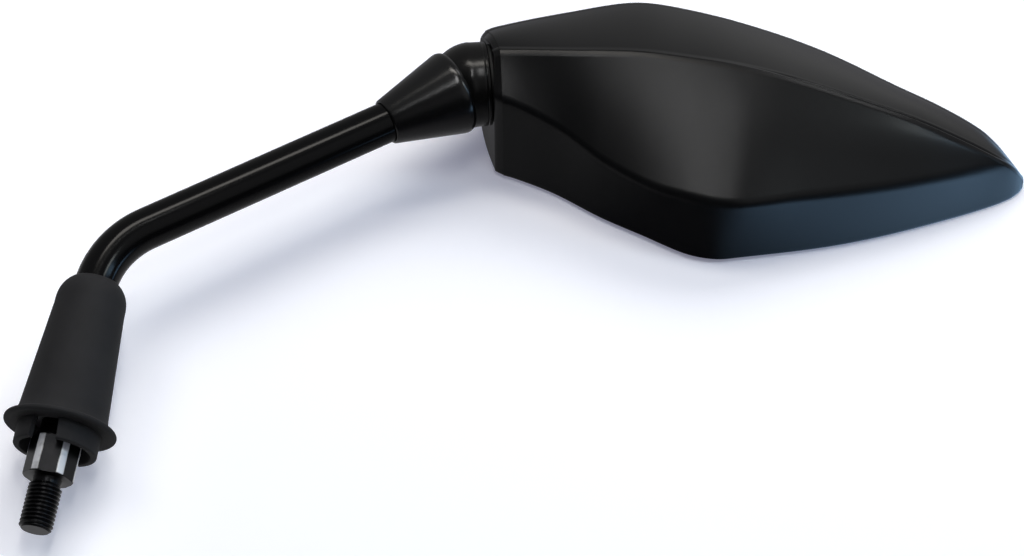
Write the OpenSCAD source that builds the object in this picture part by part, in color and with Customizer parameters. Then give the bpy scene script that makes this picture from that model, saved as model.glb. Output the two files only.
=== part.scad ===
// Left-hand motorcycle mirror: a threaded adapter, a bent stem with its rubber boot, and a
// moulded head that turns on a ball joint. The origin is the seating shoulder at the top of
// the lower thread, +Z runs up the thread's axis, +X points out to the head and +Y to the rider.

/* [Adapter] */
// Diameter of both threads of the adapter
thread_d = 10; // [8:0.5:10]
// Length of the lower thread, with its relief groove
thread_len = 16; // [12:1:30]
// Diameter of the relief groove under the shoulder
relief_d = 8.4; // [6:0.1:8.6]
// Length of the relief groove
relief_len = 1.7; // [1:0.1:3]
// Width across the flats of the adapter's hexagon
hex_af = 14; // [13:1:17]
// Height of the hexagon
hex_h = 12; // [8:1:16]
// Angle by which the hexagon's corners are turned
hex_turn = 9; // [0:1:59]
// Diameter of the plain neck over the hexagon
collar_neck_d = 11.5; // [11:0.5:13]
// Length of the plain neck
collar_neck_len = 5.5; // [3:0.5:9]
// Depth to which the upper thread is screwed into the stem
screw_in = 13; // [9:1:18]

/* [Lock nut] */
// Width across the flats of the lock nut
nut_af = 17; // [15:1:17]
// Height of the lock nut
nut_h = 6; // [4:0.5:8]
// Outer diameter of the lock washer
washer_d = 19; // [17:0.5:19.5]
// Thickness of the lock washer
washer_t = 1.2; // [0.8:0.1:2]

/* [Stem] */
// Diameter of the round stem
rod_d = 13; // [11:0.5:14]
// Diameter of the upset foot that holds the thread
foot_d = 17; // [16:0.5:18]
// Length of the foot's full diameter
foot_len = 22; // [18:1:26]
// Length of the cone between the foot and the stem
foot_cone = 5; // [3:1:8]
// Height at which the axes of the two legs meet
apex_z = 76; // [74:1:90]
// Radius of the bend on the stem's axis
bend_r = 30; // [22:1:32]
// Angle through which the stem is bent
bend_angle = 51; // [30:1:60]
// Angle of the bent leg towards the rider
bend_swing = 10.7; // [0:0.1:20]
// Distance from the apex to the centre of the ball
arm_len = 129; // [110:1:160]
// Spare depth of the foot's bore over the adapter's thread
bore_spare = 2; // [1:0.5:4]

/* [Boot] */
// Height at which the tabs end
boot_z = 8.7; // [7:0.1:11]
// Outer diameter of the two tabs
tab_d = 25; // [24:0.5:27]
// Height of the tabs below the flange
tab_h = 6.5; // [4:0.5:8]
// Width of the gap between the tabs, as an angle
tab_gap = 38; // [20:1:60]
// Direction of the first gap between the tabs
tab_turn = -97; // [-180:1:180]
// Outer diameter of the flange
flange_d = 33.8; // [31:0.2:38]
// Thickness of the flange at its edge
flange_t = 1.8; // [1.2:0.1:3]
// Outer diameter of the boot just over the flange
boot_d = 27; // [26:0.5:29]
// Outer diameter of the boot where its shoulder starts
boot_top_d = 21.4; // [19:0.2:23]
// Height over the tabs' ends of the boot's shoulder and of its top edge
boot_h = 55; // [54:1:58]
// Height of the rounded shoulder
shoulder_h = 9; // [6:1:12]
// Diameter of the cavity round the lock nut
boot_bore_d = 21.2; // [21:0.1:22]

/* [Cone cover] */
// Distance from the ball's centre back to the small end
cone_back = 30; // [27:1:36]
// Distance from the ball's centre back to the mouth
cone_front = 4.6; // [4.2:0.1:5]
// Outer diameter of the small end
cone_small_d = 14.8; // [14.6:0.2:16.6]
// Length of the sleeve that grips the stem
cone_grip = 8; // [5:1:9]
// Wall of the cone
cone_wall = 1.4; // [1:0.1:1.8]
// Thickness of the rounded lip at the mouth
cone_lip = 1; // [0.8:0.1:1.4]

/* [Ball joint] */
// Diameter of the ball
ball_d = 15; // [14:0.5:15]
// Diameter of the stud's neck behind the ball
stud_neck_d = 6.6; // [6:0.2:7]
// Diameter of the ball stud's thread
stud_thread_d = 8; // [6:0.5:8]
// Length of the ball stud's thread
stud_thread_len = 14; // [10:1:18]
// Width across the flats of the ball stud's hexagon
stud_af = 11; // [10:1:11]
// Height of the ball stud's hexagon
stud_hex_h = 4; // [3:0.5:5]
// Distance from the ball's centre back to the end of the stem
stud_reach = 21; // [18:0.5:21.5]
// Thickness of the two bearing seats
seat_t = 1.5; // [1.2:0.1:1.6]
// Half angle of the opening that the stud moves in
opening_half = 40; // [34:1:44]
// Diameter of the ball-shaped collar
collar_d = 26.4; // [26:0.2:27]
// Diameter of the bead at the collar's edge
bead_d = 27; // [26.6:0.2:28]
// Distance from the ball's centre to the bead's face
bead_face = 6; // [5.5:0.1:7]
// Width of the bead
bead_w = 1.2; // [0.8:0.1:2]
// Outer diameter of the socket's neck
socket_neck_d = 21.2; // [20.8:0.1:21.6]
// Thickness of the rubber ring between the bead and the housing
gasket_t = 1.2; // [0.8:0.1:2]
// Outer diameter of that ring
gasket_d = 25; // [24:0.2:26]
// Height of the ring nut
ring_nut_h = 4; // [3:0.5:5]
// Outer diameter of the ring nut
ring_nut_d = 24.2; // [23.6:0.1:24.4]
// Thickness of the pressure cap behind the seat
cap_t = 1.5; // [1:0.1:2]
// Thickness of one disc spring
spring_t = 0.6; // [0.4:0.1:0.8]
// Height of the end plug
plug_h = 3; // [2:0.5:4]

/* [Attitude of the head] */
// Angle by which the glass faces down
head_tilt = 12.5; // [0:0.5:20]
// Angle by which the head's long axis rises
head_rise = 4.2; // [0:0.2:10]
// Angle between the head's long axis and the neck's axis
neck_skew = 12; // [0:1:15]
// Height of the ball's centre over the rim
ball_h = 24.4; // [24:0.2:26]

/* [Housing] */
// Distance from the ball's centre to the tip
shell_len = 179; // [165:1:200]
// Half height of the housing, from the ball's centre line to either side
shell_half = 46; // [44:1:56]
// Depth of the housing from the rim to the ridge
shell_depth = 43; // [42:1:48]
// Room over the neck's ring nut up to the ridge line
neck_room = 6.5; // [6:0.5:9]
// Room beside the neck's ring nut down to the lower rim line
neck_side_room = 4.2; // [4:0.1:6]
// Length over which the housing changes from its neck's section and slant to its own
neck_blend = 55; // [45:5:65]
// Wall of the housing
wall = 2.2; // [1.8:0.1:2.4]
// Thickness of the housing's end wall at the neck
end_wall = 2.4; // [2:0.1:3]
// Length of solid plastic in the tip
tip_solid = 6; // [5:1:10]
// Reach of the rounding along each side of the lower crease
crease_reach = 2.4; // [1:0.1:4]
// Reach of the rounding along each side of the ridge
ridge_reach = 2.2; // [1:0.1:4]
// Reach of the rounding along each side of the upper edge
edge_reach = 5; // [3:0.5:8]
// Radius of the edges at the rim and at the neck
rim_round = 1.2; // [0.6:0.1:1.6]
// Diameter of the screw posts
post_d = 7; // [6:0.5:8]

/* [Glass and carrier] */
// Thickness of the glass
glass_t = 2; // [1.8:0.1:3]
// Radius to which the glass is curved
glass_r = 1200; // [1000:100:1600]
// Gap between the glass and the housing
glass_gap = 0.8; // [0.5:0.1:1.5]
// Depth of the glass's middle behind the rim
glass_set = 0.5; // [0.3:0.1:1.5]
// Thickness of the adhesive pad
pad_t = 0.8; // [0.5:0.1:1.2]
// Margin of the pad inside the glass's edge
pad_margin = 5; // [3:0.5:8]
// Height of the carrier from the rim to its back
carrier_h = 8; // [7.5:0.1:9]
// Floor of the carrier between its ribs
carrier_floor = 1.6; // [1.2:0.1:2.2]
// Diameter of the carrier screws' thread
screw_d = 3; // [2.5:0.1:3.5]
// Length of the carrier screws
screw_len = 10; // [8:1:14]

/* [Clearances] */
// Radial clearance of threads and of the bearing seats
thread_gap = 0.05; // [0.02:0.01:0.08]
// Clearance between the collar and the cone cover
cover_gap = 0.6; // [0.5:0.05:0.8]
// Clearance between pieces that are fixed together
fit_gap = 0.1; // [0.05:0.01:0.2]

/* [Hidden] */
$fn = 72;
eps = 0.01;

// Heights along the thread's axis
chamfer = 0.8;
corner_cut = 0.3;
thread_r = thread_d / 2;
neck_top = hex_h + collar_neck_len;
nut_z = neck_top + washer_t;
foot_z = nut_z + nut_h + fit_gap;
foot_end = foot_z + foot_len;
stem_z = foot_end + foot_cone;

// The bend and the two legs of the stem
rod_r = rod_d / 2;
bend_tangent = bend_r * tan(bend_angle / 2);
bend_z = apex_z - bend_tangent;
arm_dir = [sin(bend_angle) * cos(bend_swing), sin(bend_angle) * sin(bend_swing), cos(bend_angle)];
ball_pos = [0, 0, apex_z] + arm_len * arm_dir;

// The boot
flange_z = boot_z + tab_h;
body_z = flange_z + flange_t;
boot_top = boot_z + boot_h;
shoulder_z = boot_top - shoulder_h;
bend_shift = pow(max(0, boot_top - bend_z), 2) / (2 * bend_r);
boot_mouth_r = rod_r + fit_gap + bend_shift;
boot_edge_r = boot_mouth_r + 0.6;

// The ball joint, as radii about the ball's centre and distances along the neck's axis
ball_r = ball_d / 2;
seat_in_r = ball_r + thread_gap;
seat_out_r = seat_in_r + seat_t;
bore_r = seat_out_r + thread_gap;
collar_r = collar_d / 2;
socket_neck_r = socket_neck_d / 2;
neck_face = bead_face + gasket_t;
wall_back = neck_face + end_wall + eps;
seat_split = 0.2;
cap_front = 0.35 * bore_r;
cap_back = bore_r + cap_t;
spring_rise = spring_t;
spring_end = cap_back + spring_rise + 2 * spring_t + fit_gap;
socket_end = spring_end + plug_h;
mouth_in_r = sqrt(pow(collar_r, 2) - pow(cone_front, 2)) + cover_gap;
mouth_r = mouth_in_r + cone_lip;

// Outlines of the housing: along it in percent from the neck's face to the tip, then across it
// in percent of the half height, then over the rim in percent of the depth
rim_low = [[0, -35.4], [10, -49.2], [20.3, -69], [31.1, -85], [38, -95.9], [43.3, -98.6],
  [48, -95.4], [62.5, -82.5], [73.5, -69], [86, -49.6], [93.7, -36], [97.5, -27.5], [99.2, -21.5],
  [100, -17]];
rim_high = [[0, 44], [7.9, 66.5], [15.1, 82.3], [25.1, 99.5], [31, 100], [45.4, 90], [61, 72.3],
  [76, 46.8], [91.3, 23.4], [94.8, 14], [97.4, 4.5], [99.2, -2.5], [100, -6.5]];
crease = [[0, -32.4, 82.5], [6, -35.7, 73.3], [12.2, -43.7, 65], [19.8, -61, 57.7],
  [29.3, -77, 53.5], [37, -84.1, 52.3], [43, -87, 51], [48.1, -85.5, 50], [58.3, -72.8, 46.5],
  [73.5, -54.3, 40.7], [84.8, -38, 36], [95.3, -19.5, 27.8], [98.2, -17.2, 18], [100, -14.5, 7]];
ridge = [[0, -0.3, 97.7], [12.3, 0.7, 100], [26.4, 4.1, 100], [36, 3.5, 97.7], [45.2, 2.2, 94.2],
  [54.5, -0.9, 88.4], [69.1, -7.4, 74.4], [78.7, -11.1, 62.8], [88.6, -14.6, 45.3],
  [95.3, -16.4, 30.4], [98.2, -14, 19.4], [100, -12, 7.5]];
edge = [[0, 38.4, 76], [7.9, 59, 67.4], [15.1, 75.4, 60.5], [25.1, 93.8, 54], [31, 94.2, 53.5],
  [45.4, 84, 51.2], [61, 66.4, 46.5], [76, 42, 39.5], [83.7, 32, 33.7], [91.3, 20.6, 25.2],
  [94.8, 11, 19.6], [97.1, 0.6, 15.2], [98.8, -6.4, 10], [100, -10, 6]];

shell_start = neck_face / cos(neck_skew);
shell_span = shell_len - shell_start;
neck_depth = ball_h + ring_nut_d / 2 + neck_room;
neck_half = (ring_nut_d / 2 + neck_side_room) * 100 / abs(rim_low[0][1]);
side_steps = [4, 8, 12, 16, 20, 24, 28, 32, 36, 40, 43, 46, 50, 54, 58, 62, 66, 70, 74, 78, 82,
  86, 89, 92, 94, 95.5, 96.8, 98, 99, 99.6, 100];
shell_steps = concat([0, 0.3 * rim_round, rim_round] * 100 / shell_span, side_steps);
cavity_start = shell_start + end_wall / cos(neck_skew);
cavity_end = shell_len - tip_solid;

// The glass and what carries it
glass_corner = 7;
glass_end = shell_len * 0.94;
glass_high = 5;
glass_mid = [shell_len * 0.46, 0];
pad_r = glass_r - glass_t;
carrier_r = pad_r - pad_t;
post_places = [[36, 21], [42, -17], [93, 25], [92, -29], [140, -7]];
head_r = screw_d * 0.95;
screw_head_h = screw_d * 0.55;

// Value of column k of an outline at the place u, on a smooth curve through its points
function span(u, line, i = 0) =
  i >= len(line) - 2 || u < line[i + 1][0] ? i : span(u, line, i + 1);
function slope(line, i, k) =
  let (a = max(0, i - 1), b = min(len(line) - 1, i + 1))
  (line[b][k] - line[a][k]) / (line[b][0] - line[a][0]);
function value(u, line, k) =
  let (
    i = span(u, line),
    h = line[i + 1][0] - line[i][0],
    t = (u - line[i][0]) / h,
    t2 = t * t,
    t3 = t2 * t
  )
  (2 * t3 - 3 * t2 + 1) * line[i][k] + (t3 - 2 * t2 + t) * h * slope(line, i, k)
  + (3 * t2 - 2 * t3) * line[i + 1][k] + (t3 - t2) * h * slope(line, i + 1, k);

// Corners of the section at the length x, from the lower rim over the ridge to the upper rim
function percent(x) = (x - shell_start) / shell_span * 100;
function neck_share(x) = let (t = min(1, (x - shell_start) / neck_blend)) 1 - t * t * (3 - 2 * t);
function half_at(x) = shell_half + (neck_half - shell_half) * neck_share(x);
function depth_at(x) = shell_depth + (neck_depth - shell_depth) * neck_share(x);
function rim_point(x, line) = [value(percent(x), line, 1) * half_at(x) / 100, 0];
function line_point(x, line) = [
  value(percent(x), line, 1) * half_at(x) / 100,
  value(percent(x), line, 2) * depth_at(x) / 100
];
function corners(x) = [rim_point(x, rim_low), line_point(x, crease), line_point(x, ridge),
  line_point(x, edge), rim_point(x, rim_high)];

// The same corners moved inwards by w, square to the faces
function unit(v) = v / norm(v);
function inward(a, b) = let (d = unit(b - a)) [d[1], -d[0]];
function mitre(a, b, c, w) =
  let (m = inward(a, b), n = inward(b, c)) b + w * (m + n) / (1 + m * n);
function moved(p, w) = [
  p[0] + [w / inward(p[0], p[1])[0], 0],
  mitre(p[0], p[1], p[2], w), mitre(p[1], p[2], p[3], w), mitre(p[2], p[3], p[4], w),
  p[4] + [w / inward(p[3], p[4])[0], 0]
];

// A rounded corner at b, as n steps of a parabola that touches both sides
function rounded(a, b, c, reach, n) =
  let (
    p = b + unit(a - b) * min(reach, 0.45 * norm(a - b)),
    q = b + unit(c - b) * min(reach, 0.45 * norm(c - b))
  )
  [for (i = [0 : n]) let (t = i / n) (1 - t) * (1 - t) * p + 2 * t * (1 - t) * b + t * t * q];
function roof_points(p) = concat(
  rounded(p[0], p[1], p[2], crease_reach, 4),
  rounded(p[1], p[2], p[3], ridge_reach, 4),
  rounded(p[2], p[3], p[4], edge_reach, 5)
);
function outer_section(p) = concat(
  rounded(p[0] + [4 * rim_round, 0], p[0], p[1], rim_round, 3),
  roof_points(p),
  rounded(p[3], p[4], p[4] - [4 * rim_round, 0], rim_round, 3)
);
function inner_section(p) = concat([p[0]], roof_points(p), [p[4]]);

// A section's point in space: near the neck the sections lean with the end wall, whose face is at x0
function placed(x, q, x0 = cavity_start) =
  let (lean = tan(neck_skew) * max(0, 1 - (x - x0) / neck_blend))
  [x - lean * q[0], q[0], q[1]];
function at_step(u) = shell_start + shell_span * u / 100;
function edge_inset(i) = i == 0 ? rim_round : i == 1 ? 0.3 * rim_round : 0;
outer_rings = [for (i = [0 : len(shell_steps) - 1])
  let (x = at_step(shell_steps[i]))
  [for (q = outer_section(moved(corners(x), edge_inset(i)))) placed(x, q, shell_start)]];
inner_rings = [for (u = shell_steps)
  let (x = cavity_start + (cavity_end - cavity_start) * u / 100)
  [for (q = inner_section(moved(corners(x), wall))) placed(x, q)]];

// Faces of the shell, numbered through both lists of rings
ring_count = len(outer_rings);
outer_n = len(outer_rings[0]);
inner_n = len(inner_rings[0]);
inner_from = ring_count * outer_n;
function out_at(j, k) = j * outer_n + k;
function in_at(j, k) = inner_from + j * inner_n + k;
function flat(lists) = [for (l = lists) for (v = l) v];
outer_faces = flat([for (j = [0 : ring_count - 2]) for (k = [0 : outer_n - 2]) [
  [out_at(j, k), out_at(j, k + 1), out_at(j + 1, k + 1)],
  [out_at(j, k), out_at(j + 1, k + 1), out_at(j + 1, k)]
]]);
inner_faces = flat([for (j = [0 : ring_count - 2]) for (k = [0 : inner_n - 2]) [
  [in_at(j, k), in_at(j + 1, k + 1), in_at(j, k + 1)],
  [in_at(j, k), in_at(j + 1, k), in_at(j + 1, k + 1)]
]]);
rim_faces = flat([for (j = [0 : ring_count - 2]) [
  [out_at(j, 0), out_at(j + 1, 0), in_at(j + 1, 0)],
  [out_at(j, 0), in_at(j + 1, 0), in_at(j, 0)],
  [out_at(j, outer_n - 1), in_at(j, inner_n - 1), in_at(j + 1, inner_n - 1)],
  [out_at(j, outer_n - 1), in_at(j + 1, inner_n - 1), out_at(j + 1, outer_n - 1)]
]]);
last = ring_count - 1;
end_faces = [
  [for (k = [outer_n - 1 : -1 : 0]) out_at(0, k)],
  [for (k = [0 : inner_n - 1]) in_at(0, k)],
  [for (k = [0 : outer_n - 1]) out_at(last, k)],
  [for (k = [inner_n - 1 : -1 : 0]) in_at(last, k)],
  [out_at(0, 0), in_at(0, 0), in_at(0, inner_n - 1), out_at(0, outer_n - 1)],
  [in_at(last, 0), out_at(last, 0), out_at(last, outer_n - 1), in_at(last, inner_n - 1)]
];

// Height over the rim of the middle of the wall, on the flat between two corners
function wall_mid(x, y) =
  let (
    p = moved(corners(x), wall / 2),
    a = y < p[2][0] ? p[1] : p[2],
    b = y < p[2][0] ? p[2] : p[3]
  )
  a[1] + (b[1] - a[1]) * (y - a[0]) / (b[0] - a[0]);
// An outline that clears the leaning walls by m up to the height h, with round corners
function wall_edge(x, h, k) =
  let (p = moved(corners(x), wall), a = p[k], b = k == 0 ? p[1] : p[3])
  a[0] + (b[0] - a[0]) * h / b[1];
function clear_edge(x, m, h, k) =
  let (
    rise = (wall_edge(x + 1, h, k) - wall_edge(x - 1, h, k)) / 2,
    q = placed(x, [wall_edge(x, h, k) + (k == 0 ? m : -m) * norm([1, rise]), 0])
  )
  [q[0], q[1]];
function clear_outline(m, h) =
  let (
    a = cavity_start + m,
    b = glass_end - m,
    c = glass_corner * 1.5,
    step = 6,
    low = function (x) clear_edge(x, m, h, 0),
    high = function (x) clear_edge(x, m, h, 4)
  )
  concat(
    rounded(high(a), low(a), low(a + c), glass_corner, 4),
    [for (x = [a + c : step : b - c]) low(x)],
    rounded(low(b - c), low(b), high(b), glass_corner, 4),
    rounded(low(b), high(b), high(b - c), glass_corner, 4),
    [for (x = [b - c : -step : a + c]) high(x)],
    rounded(high(a + c), high(a), low(a), glass_corner, 4)
  );

// Height over the rim of a ball-shaped surface of radius r under the glass
function dome(p, r) = glass_set + glass_r - sqrt(pow(r, 2) - pow(norm(p - glass_mid), 2));

module at_arm(l) {
  translate([0, 0, apex_z])
    rotate([0, bend_angle, bend_swing])
      translate([0, 0, l])
        children();
}

module at_head() {
  translate(ball_pos)
    rotate([90 - head_tilt, 0, 0])
      rotate([0, 0, head_rise])
        translate([0, 0, -ball_h])
          children();
}

module neck_axis(d) {
  translate([0, 0, ball_h])
    rotate([0, 90, neck_skew])
      translate([0, 0, d])
        children();
}

module at_neck(d) {
  at_head() neck_axis(d) children();
}

module turned(points) {
  rotate_extrude() polygon(points);
}

// A ring between two radii, from z = 0 up
module ring(r_in, r_out, h) {
  difference() {
    cylinder(r = r_out, h = h);
    translate([0, 0, -1]) cylinder(r = r_in, h = h + 2);
  }
}

// A hexagon from bar stock: corners cut round, both ends chamfered
module hex_bar(af, h) {
  corner_r = af / 2 / cos(30);
  intersection() {
    cylinder(r = corner_r, h = h, $fn = 6);
    turned([
      [0, 0], [af / 2 - 0.1, 0], [corner_r - corner_cut, chamfer],
      [corner_r - corner_cut, h - chamfer], [af / 2 - 0.1, h], [0, h]
    ]);
  }
}

// The opening in which the stud moves, as a cone with its point at the ball's centre
module stud_opening(half_angle) {
  depth = collar_r + 2;
  at_arm(arm_len)
    rotate([180, 0, 0])
      cylinder(h = depth, r1 = 0, r2 = depth * tan(half_angle));
}

module stud_adapter() {
  relief_r = relief_d / 2;
  color([0.09, 0.09, 0.1]) {
    turned([
      [0, -thread_len], [thread_r - chamfer, -thread_len], [thread_r, chamfer - thread_len],
      [thread_r, -relief_len], [relief_r, -relief_len], [relief_r, eps], [0, eps]
    ]);
    rotate([0, 0, hex_turn]) hex_bar(hex_af, hex_h);
    turned([
      [0, hex_h - eps], [hex_af / 2 - 0.3, hex_h - eps], [collar_neck_d / 2, hex_h + 0.8],
      [collar_neck_d / 2, neck_top], [thread_r, neck_top], [thread_r, foot_z + screw_in - chamfer],
      [thread_r - chamfer, foot_z + screw_in], [0, foot_z + screw_in]
    ]);
  }
}

module lock_washer() {
  color([0.55, 0.55, 0.56])
    translate([0, 0, neck_top]) ring(thread_r + fit_gap, washer_d / 2, washer_t);
}

module lock_nut() {
  color([0.12, 0.12, 0.13])
    translate([0, 0, nut_z])
      difference() {
        hex_bar(nut_af, nut_h);
        translate([0, 0, -chamfer]) cylinder(r = thread_r + thread_gap, h = nut_h + 2 * chamfer);
      }
}

module stem_rod() {
  rod_end = arm_len - stud_reach;
  foot_r = foot_d / 2;
  bore_top = foot_z + screw_in + bore_spare;
  spigot = rod_r / 6;
  color([0.04, 0.04, 0.045])
    difference() {
      union() {
        turned([
          [0, foot_z], [foot_r - chamfer, foot_z], [foot_r, foot_z + chamfer], [foot_r, foot_end],
          [rod_r, stem_z], [rod_r, bend_z], [rod_r / 2, bend_z], [rod_r / 2, bend_z + spigot],
          [0, bend_z + spigot]
        ]);
        rotate([0, 0, bend_swing])
          translate([bend_r, 0, bend_z])
            mirror([1, 0, 0])
              rotate([90, 0, 0])
                rotate_extrude(angle = bend_angle)
                  translate([bend_r, 0]) circle(r = rod_r);
        at_arm(bend_tangent)
          turned([
            [0, -spigot], [rod_r / 2, -spigot], [rod_r / 2, 0], [rod_r, 0],
            [rod_r, rod_end - bend_tangent - chamfer],
            [rod_r - chamfer, rod_end - bend_tangent], [0, rod_end - bend_tangent]
          ]);
      }
      translate([0, 0, foot_z - 1]) cylinder(r = thread_r + thread_gap, h = bore_top - foot_z + 1);
      at_arm(rod_end - stud_thread_len - 1)
        cylinder(r = stud_thread_d / 2 + thread_gap, h = stud_thread_len + 2);
    }
}

module boot() {
  tab_r = tab_d / 2;
  flange_r = flange_d / 2;
  body_r = boot_d / 2;
  top_r = boot_top_d / 2;
  bore = boot_bore_d / 2;
  foot_bore = foot_d / 2 + fit_gap;
  lip = flange_t / 3;
  fillet = boot_d / 9;
  ease = rod_d / 13;
  shoulder = [for (i = [1 : 7]) let (t = i / 7)
    [boot_edge_r + (top_r - boot_edge_r) * (1 - pow(t, 3)), shoulder_z + shoulder_h * t]];
  color([0.13, 0.13, 0.135])
    difference() {
      turned(concat(
        [
          [bore, boot_z], [tab_r - 0.6, boot_z], [tab_r, boot_z + 0.6], [tab_r, flange_z],
          [flange_r - lip, flange_z], [flange_r, flange_z + lip], [flange_r, body_z - lip],
          [flange_r - lip, body_z], [body_r + 0.45 * fillet, body_z + 0.1 * fillet],
          [body_r + 0.1 * fillet, body_z + 0.45 * fillet], [body_r, body_z + fillet],
          [top_r, shoulder_z]
        ],
        shoulder,
        [
          [boot_mouth_r, boot_top], [boot_mouth_r, bend_z - ease], [rod_r + fit_gap, bend_z - 3 * ease],
          [rod_r + fit_gap, stem_z + ease], [foot_bore, foot_end + 0.6 * ease],
          [foot_bore, foot_z + fillet], [bore, foot_z]
        ]
      ));
      for (k = [0, 180])
        rotate([0, 0, tab_turn - tab_gap / 2 + k])
          rotate_extrude(angle = tab_gap)
            translate([bore - 1, boot_z - 1]) square([tab_r - bore + 2, tab_h + 1]);
    }
}

module cone_cover() {
  small_r = cone_small_d / 2;
  grip_r = rod_r + fit_gap;
  grip_end = cone_grip - cone_back;
  lip_z = -cone_front - cone_lip;
  taper = (mouth_r - small_r) / (cone_back - cone_front - cone_lip);
  function outer(z) = small_r + taper * (z + cone_back);
  color([0.05, 0.05, 0.055])
    at_arm(arm_len)
      turned([
        [grip_r, -cone_back], [small_r - 0.5, -cone_back], [small_r, 0.5 - cone_back],
        [mouth_r, lip_z], [mouth_r, lip_z + cone_lip * 0.5],
        [mouth_r - cone_lip * 0.3, -cone_front - cone_lip * 0.1],
        [mouth_r - cone_lip * 0.6, -cone_front], [mouth_in_r, -cone_front],
        [outer(-cone_front - 2.5) - cone_wall, -cone_front - 2.5],
        [outer(grip_end + 1) - cone_wall, grip_end + 1], [grip_r, grip_end]
      ]);
}

module ball_stud() {
  shank_r = stud_thread_d / 2;
  color([0.6, 0.6, 0.62])
    at_arm(arm_len) {
      turned([
        [0, -stud_reach - stud_thread_len], [shank_r - chamfer, -stud_reach - stud_thread_len],
        [shank_r, chamfer - stud_reach - stud_thread_len], [shank_r, eps - stud_reach],
        [0, eps - stud_reach]
      ]);
      translate([0, 0, -stud_reach]) hex_bar(stud_af, stud_hex_h);
      translate([0, 0, -stud_reach + eps]) cylinder(d = stud_neck_d, h = stud_reach - eps);
      sphere(r = ball_r);
    }
}

// A ball-shaped shell between the ball and the socket
module seat_shell() {
  difference() {
    sphere(r = seat_out_r);
    sphere(r = seat_in_r);
  }
}

module seat_front() {
  color([0.85, 0.85, 0.8])
    difference() {
      at_neck(0) seat_shell();
      at_neck(-seat_split) cylinder(r = collar_r, h = collar_r);
      stud_opening(opening_half + 2);
    }
}

module seat_back() {
  color([0.85, 0.85, 0.8])
    at_neck(0)
      difference() {
        seat_shell();
        translate([0, 0, seat_split - 2 * collar_r]) cylinder(r = collar_r, h = 2 * collar_r);
        cylinder(r = ball_r * 0.4, h = collar_r);
      }
}

module socket_cup() {
  step = bead_d / 2 - collar_r;
  collar_ease = 0.2;
  color([0.07, 0.07, 0.075])
    difference() {
      at_neck(0) {
        intersection() {
          sphere(r = collar_r);
          translate([0, 0, -2 * collar_r]) cylinder(r = collar_r + 1, h = 2 * collar_r + eps);
        }
        turned([
          [0, 0], [collar_r, 0], [collar_r - collar_ease, 2],
          [collar_r - collar_ease, bead_face - bead_w],
          [collar_r + step, bead_face - 0.7 * bead_w],
          [collar_r + step, bead_face - 0.2 * bead_w], [collar_r, bead_face],
          [socket_neck_r, bead_face], [socket_neck_r, socket_end], [0, socket_end]
        ]);
      }
      at_neck(0) sphere(r = bore_r);
      at_neck(0) cylinder(r = bore_r, h = socket_end + 1);
      stud_opening(opening_half);
    }
}

module neck_gasket() {
  color([0.1, 0.1, 0.1])
    at_neck(bead_face) ring(socket_neck_r + fit_gap, gasket_d / 2, gasket_t);
}

module ring_nut() {
  color([0.5, 0.5, 0.52])
    at_neck(wall_back)
      difference() {
        ring(socket_neck_r + thread_gap, ring_nut_d / 2, ring_nut_h);
        for (a = [0 : 90 : 270])
          rotate([0, 0, a])
            translate([ring_nut_d / 2 - 0.6, -1.5, ring_nut_h / 2]) cube([2, 3, ring_nut_h]);
      }
}

module pressure_cap() {
  color([0.6, 0.6, 0.62])
    at_neck(0)
      difference() {
        translate([0, 0, cap_front]) cylinder(r = bore_r - thread_gap, h = cap_back - cap_front);
        sphere(r = bore_r);
      }
}

module disc_springs() {
  r_in = bore_r * 0.45;
  r_out = bore_r - 3 * thread_gap;
  color([0.45, 0.45, 0.47])
    for (i = [0, 1])
      at_neck(cap_back + i * (spring_t + fit_gap))
        turned([[r_in, 0], [r_out, spring_rise], [r_out, spring_rise + spring_t], [r_in, spring_t]]);
}

module end_plug() {
  color([0.6, 0.6, 0.62])
    at_neck(spring_end)
      difference() {
        cylinder(r = bore_r - thread_gap, h = plug_h);
        for (s = [-1, 1])
          translate([s * bore_r / 2, 0, plug_h / 2]) cylinder(r = 1.2, h = plug_h);
      }
}

// A screw post that ends in the middle of the wall over it, cut to the slope there
module screw_post(p) {
  probe = 1;
  top = wall_mid(p[0], p[1]);
  rise_x = wall_mid(p[0] + probe, p[1]) - top;
  rise_y = wall_mid(p[0], p[1] + probe) - top;
  intersection() {
    translate([p[0], p[1], carrier_h]) cylinder(d = post_d, h = shell_depth);
    translate([p[0], p[1], top])
      rotate([atan(rise_y), -atan(rise_x), 0])
        translate([-shell_depth, -shell_depth, -2 * shell_depth]) cube(2 * shell_depth);
  }
}

module housing() {
  color([0.08, 0.08, 0.09])
    at_head()
      difference() {
        union() {
          polyhedron(
            points = flat(concat(outer_rings, inner_rings)),
            faces = concat(outer_faces, inner_faces, rim_faces, end_faces),
            convexity = 6
          );
          for (p = post_places) screw_post(p);
        }
        neck_axis(bead_face - 1) cylinder(r = socket_neck_r + fit_gap, h = gasket_t + end_wall + 2);
        for (p = post_places)
          translate([p[0], p[1], carrier_h - 1])
            cylinder(r = screw_d / 2 + thread_gap, h = screw_len - 1);
      }
}

// A sheet with the glass's curve, between two radii about one centre
module domed_sheet(outline, r_front, r_back) {
  intersection() {
    linear_extrude(height = shell_depth) polygon(outline);
    translate([glass_mid[0], glass_mid[1], glass_set + glass_r])
      difference() {
        sphere(r = r_front, $fn = 256);
        sphere(r = r_back, $fn = 256);
      }
  }
}

module mirror_glass() {
  color([0.75, 0.8, 0.85]) at_head() domed_sheet(clear_outline(glass_gap, glass_high), glass_r, pad_r);
}

module adhesive_pad() {
  color([0.2, 0.2, 0.2])
    at_head() domed_sheet(clear_outline(pad_margin, carrier_h), pad_r, carrier_r);
}

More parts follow.
